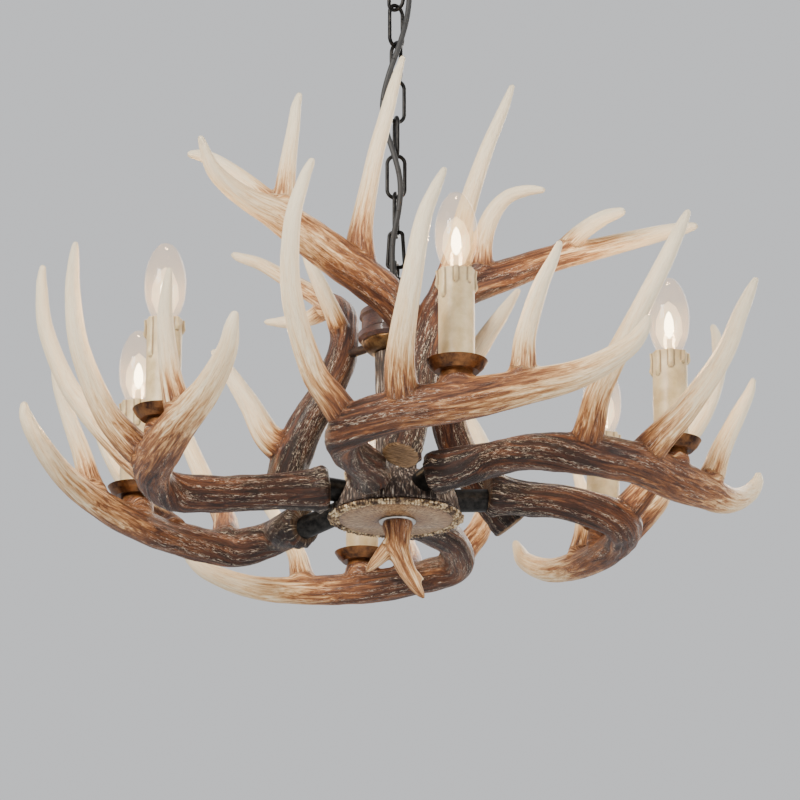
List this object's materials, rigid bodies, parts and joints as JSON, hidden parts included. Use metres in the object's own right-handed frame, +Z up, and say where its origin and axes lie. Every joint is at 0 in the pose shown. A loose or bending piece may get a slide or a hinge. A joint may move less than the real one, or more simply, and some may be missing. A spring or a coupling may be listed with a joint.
{
  "type": "antler chandelier",
  "caption": "Hanging chandelier of interlocked cast antlers with candle lights in drip cups, on a chain and cord from a domed ceiling canopy.",
  "frame": {"origin": "centre of the ceiling bracket's upper face, on the ceiling plane", "axes": "+Z up along the chain, out of the ceiling face; -Y towards the viewer (front); +X to the viewer's right"},
  "size_m": [0.6437, 0.6393, 0.6248],
  "materials": {
    "black_metal": "black satin paint",
    "zinc": "zinc plated",
    "terminal_plastic": "moulded nylon",
    "cord_black": "matte black sheath",
    "turned_brown": "turned, reddish brown stain, satin",
    "gold": "antique gold",
    "bark": "cast resin, bark relief, dry brushed",
    "cut_face": "cast resin, sawn antler face",
    "antler": "cast resin antler, brown beam and ivory tines",
    "bronze": "antique bronze",
    "holder_white": "moulded lamp holder",
    "candle_cream": "cream candle sleeve with wax drips",
    "bulb_glass": "clear glass candle lamp, lit"
  },
  "bodies": {
    "ceiling": {"canopy_cover": "black_metal", "ceiling_bracket": "zinc", "terminal_block": "terminal_plastic", "canopy_loop": "black_metal", "canopy_nut": "black_metal", "canopy_grommet": "cord_black", "power_cord": "cord_black"},
    "link_1": {"chain_link_1": "black_metal"},
    "link_2": {"chain_link_2": "black_metal"},
    "link_3": {"chain_link_3": "black_metal"},
    "link_4": {"chain_link_4": "black_metal"},
    "link_5": {"chain_link_5": "black_metal"},
    "link_6": {"chain_link_6": "black_metal"},
    "link_7": {"chain_link_7": "black_metal"},
    "quick_link": {"quick_link": "black_metal"},
    "fixture": {"top_loop": "black_metal", "arm_tubes": "black_metal", "stay_rods": "zinc", "stem_tube": "zinc", "cord_grommet": "cord_black", "top_collar": "turned_brown", "collar_dome": "gold", "stem_sleeve": "bark", "hub_body": "bark", "hub_cap": "cut_face", "finial": "antler", "arm_antler_front": "antler", "arm_antler_front_right": "antler", "arm_antler_rear_right": "antler", "arm_antler_rear": "antler", "arm_antler_rear_left": "antler", "arm_antler_front_left": "antler", "upper_antler_left": "antler", "upper_antler_right": "antler", "upper_antler_rear": "antler", "candle_cup_front": "bronze", "candle_cup_front_right": "bronze", "candle_cup_rear_right": "bronze", "candle_cup_rear": "bronze", "candle_cup_rear_left": "bronze", "candle_cup_front_left": "bronze", "lamp_holder_front": "holder_white", "lamp_holder_front_right": "holder_white", "lamp_holder_rear_right": "holder_white", "lamp_holder_rear": "holder_white", "lamp_holder_rear_left": "holder_white", "lamp_holder_front_left": "holder_white", "candle_sleeve_front": "candle_cream", "candle_sleeve_front_right": "candle_cream", "candle_sleeve_rear_right": "candle_cream", "candle_sleeve_rear": "candle_cream", "candle_sleeve_rear_left": "candle_cream", "candle_sleeve_front_left": "candle_cream"},
    "lamp_front": {"bulb_front": "bulb_glass"},
    "lamp_front_right": {"bulb_front_right": "bulb_glass"},
    "lamp_rear_right": {"bulb_rear_right": "bulb_glass"},
    "lamp_rear": {"bulb_rear": "bulb_glass"},
    "lamp_rear_left": {"bulb_rear_left": "bulb_glass"},
    "lamp_front_left": {"bulb_front_left": "bulb_glass"}
  },
  "joints": [
    {"name": "chain_joint_1", "type": "hinge", "parent": "ceiling", "child": "link_1", "pos_m": [0, 0, -0.042], "axis": [0.5878, 0.809, 0], "range_deg": [-10, 10], "deforming": ["power_cord"]},
    {"name": "chain_joint_2", "type": "hinge", "parent": "link_1", "child": "link_2", "pos_m": [0, 0, -0.078], "axis": [-0.809, 0.5878, 0], "range_deg": [-10, 10], "deforming": ["power_cord"]},
    {"name": "chain_joint_3", "type": "hinge", "parent": "link_2", "child": "link_3", "pos_m": [0, 0, -0.114], "axis": [0.729, 0.6845, 0], "range_deg": [-10, 10], "deforming": ["power_cord"]},
    {"name": "chain_joint_4", "type": "hinge", "parent": "link_3", "child": "link_4", "pos_m": [0, 0, -0.15], "axis": [-0.5358, 0.8443, 0], "range_deg": [-4, 4], "deforming": ["power_cord"]},
    {"name": "chain_joint_5", "type": "hinge", "parent": "link_4", "child": "link_5", "pos_m": [0, 0, -0.186], "axis": [0.9298, 0.3681, 0], "range_deg": [-4, 4], "deforming": ["power_cord"]},
    {"name": "chain_joint_6", "type": "hinge", "parent": "link_5", "child": "link_6", "pos_m": [0, 0, -0.222], "axis": [-0.1874, 0.9823, 0], "range_deg": [-4, 4], "deforming": ["power_cord"]},
    {"name": "chain_joint_7", "type": "hinge", "parent": "link_6", "child": "link_7", "pos_m": [0, 0, -0.258], "axis": [1, 0, 0], "range_deg": [-4, 4], "deforming": ["power_cord"]},
    {"name": "chain_joint_8", "type": "hinge", "parent": "link_7", "child": "quick_link", "pos_m": [0, 0, -0.294], "axis": [0.1874, 0.9823, 0], "range_deg": [-4, 4], "deforming": ["power_cord"]},
    {"name": "chain_joint_9", "type": "hinge", "parent": "quick_link", "child": "fixture", "pos_m": [0, 0, -0.323], "axis": [0.9823, -0.1874, 0], "range_deg": [-4, 4], "deforming": ["power_cord"]},
    {"name": "lamp_turn_front", "type": "hinge", "parent": "fixture", "child": "lamp_front", "pos_m": [0.04922, -0.24033, -0.41358], "axis": [0, 0, 1], "range_deg": [0, 1080]},
    {"name": "lamp_turn_front_right", "type": "hinge", "parent": "fixture", "child": "lamp_front_right", "pos_m": [0.23231, -0.07865, -0.43003], "axis": [0, 0, 1], "range_deg": [0, 1080]},
    {"name": "lamp_turn_rear_right", "type": "hinge", "parent": "fixture", "child": "lamp_rear_right", "pos_m": [0.18662, 0.15975, -0.42729], "axis": [0, 0, 1], "range_deg": [0, 1080]},
    {"name": "lamp_turn_rear", "type": "hinge", "parent": "fixture", "child": "lamp_rear", "pos_m": [-0.03135, 0.24414, -0.43622], "axis": [0, 0, 1], "range_deg": [0, 1080]},
    {"name": "lamp_turn_rear_left", "type": "hinge", "parent": "fixture", "child": "lamp_rear_left", "pos_m": [-0.22959, 0.08952, -0.41994], "axis": [0, 0, 1], "range_deg": [0, 1080]},
    {"name": "lamp_turn_front_left", "type": "hinge", "parent": "fixture", "child": "lamp_front_left", "pos_m": [-0.19224, -0.15399, -0.4263], "axis": [0, 0, 1], "range_deg": [0, 1080]}
  ]
}
